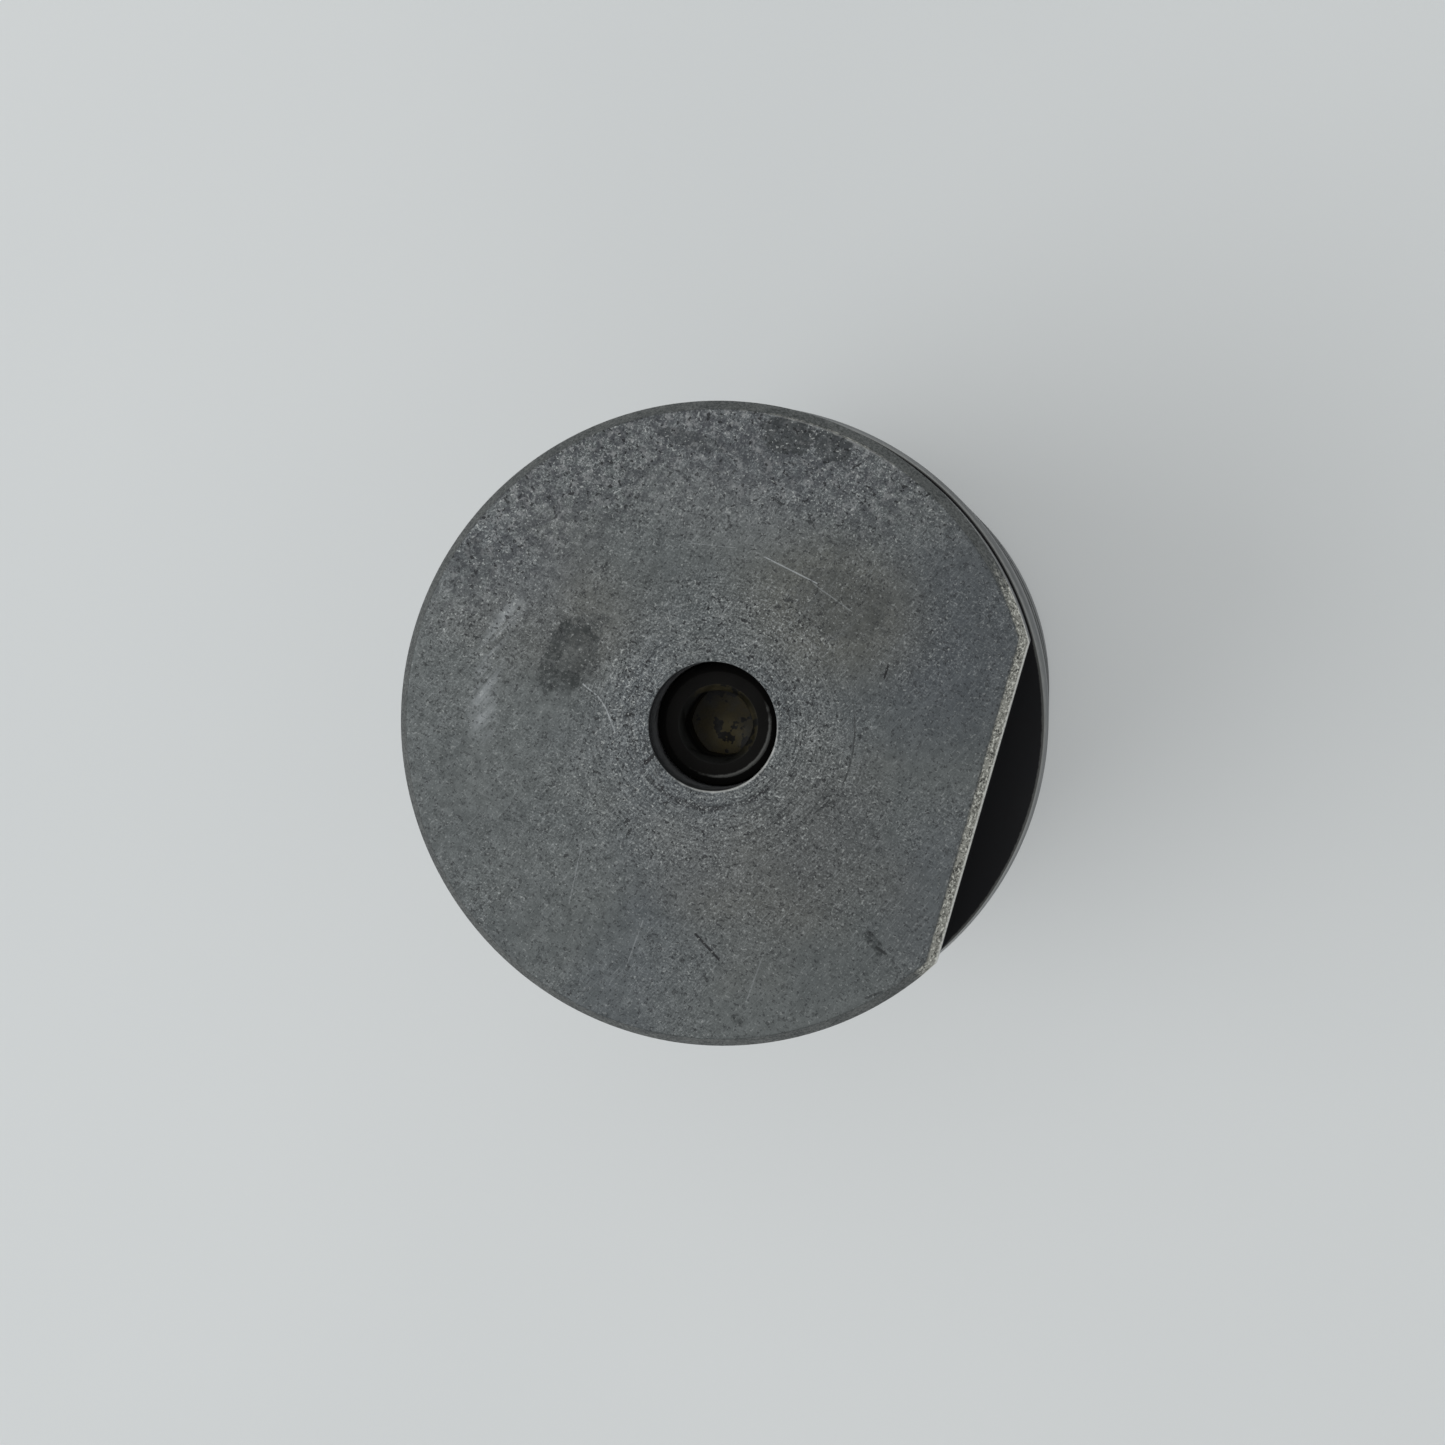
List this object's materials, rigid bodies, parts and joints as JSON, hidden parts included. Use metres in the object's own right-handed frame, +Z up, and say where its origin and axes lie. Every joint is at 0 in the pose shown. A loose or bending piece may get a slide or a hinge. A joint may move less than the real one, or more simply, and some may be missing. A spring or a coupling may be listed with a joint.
{
  "type": "beam coupling",
  "caption": "Steel beam coupling cut from one bar: helical beams flex between a bored lower hub and an upper hub with a turned nose, a drive flat and a screw-plugged centre hole.",
  "frame": {"origin": "centre of the lower end face, on the coupling's axis", "axes": "+Z up the coupling's axis towards the nose, +X out of the drive flat, +Y completes the right hand"},
  "size_m": [0.0254, 0.0254, 0.0381],
  "materials": {
    "hub_steel": "black oxide, worn grey",
    "beam_steel": "black oxide",
    "screw_steel": "dark oiled steel"
  },
  "bodies": {
    "lower_hub": {"lower_hub": "hub_steel"},
    "lower_beams": {"lower_beam_1": "beam_steel", "lower_beam_2": "beam_steel", "lower_beam_3": "beam_steel"},
    "centre_ring": {"centre_ring": "beam_steel"},
    "upper_beams": {"upper_beam_1": "beam_steel", "upper_beam_2": "beam_steel", "upper_beam_3": "beam_steel"},
    "upper_hub": {"upper_hub": "hub_steel"},
    "axial_set_screw": {"axial_set_screw": "screw_steel"},
    "lower_set_screw_1": {"lower_set_screw_1": "screw_steel"},
    "lower_set_screw_2": {"lower_set_screw_2": "screw_steel"}
  },
  "joints": [
    {"name": "axial_stretch", "type": "slide", "parent": "lower_hub", "child": "lower_beams", "axis": [0, 0, 1], "range_m": [-0.00025, 0.00025], "stiffness_N_per_m": 20000, "deforming": ["lower_beam_1", "lower_beam_2", "lower_beam_3"]},
    {"name": "lower_bend", "type": "hinge", "parent": "lower_beams", "child": "centre_ring", "pos_m": [0, 0, 0.0141], "axis": [1, 0, 0], "range_deg": [-2.5, 2.5], "stiffness_Nm_per_rad": 2},
    {"name": "torsional_wind_up", "type": "hinge", "parent": "centre_ring", "child": "upper_beams", "pos_m": [0, 0, 0.0201], "axis": [0, 0, 1], "range_deg": [-1, 1], "stiffness_Nm_per_rad": 60, "deforming": ["upper_beam_1", "upper_beam_2", "upper_beam_3"]},
    {"name": "upper_bend", "type": "hinge", "parent": "upper_beams", "child": "upper_hub", "pos_m": [0, 0, 0.0227], "axis": [0, 1, 0], "range_deg": [-2.5, 2.5], "stiffness_Nm_per_rad": 2},
    {"name": "axial_screw_travel", "type": "slide", "parent": "upper_hub", "child": "axial_set_screw", "axis": [0, 0, 1], "range_m": [-0.004, 0.0015]},
    {"name": "radial_screw_1_travel", "type": "slide", "parent": "lower_hub", "child": "lower_set_screw_1", "axis": [1, 0, 0], "range_m": [-0.0005, 0.003]},
    {"name": "radial_screw_2_travel", "type": "slide", "parent": "lower_hub", "child": "lower_set_screw_2", "axis": [0, 1, 0], "range_m": [-0.0005, 0.003]}
  ]
}
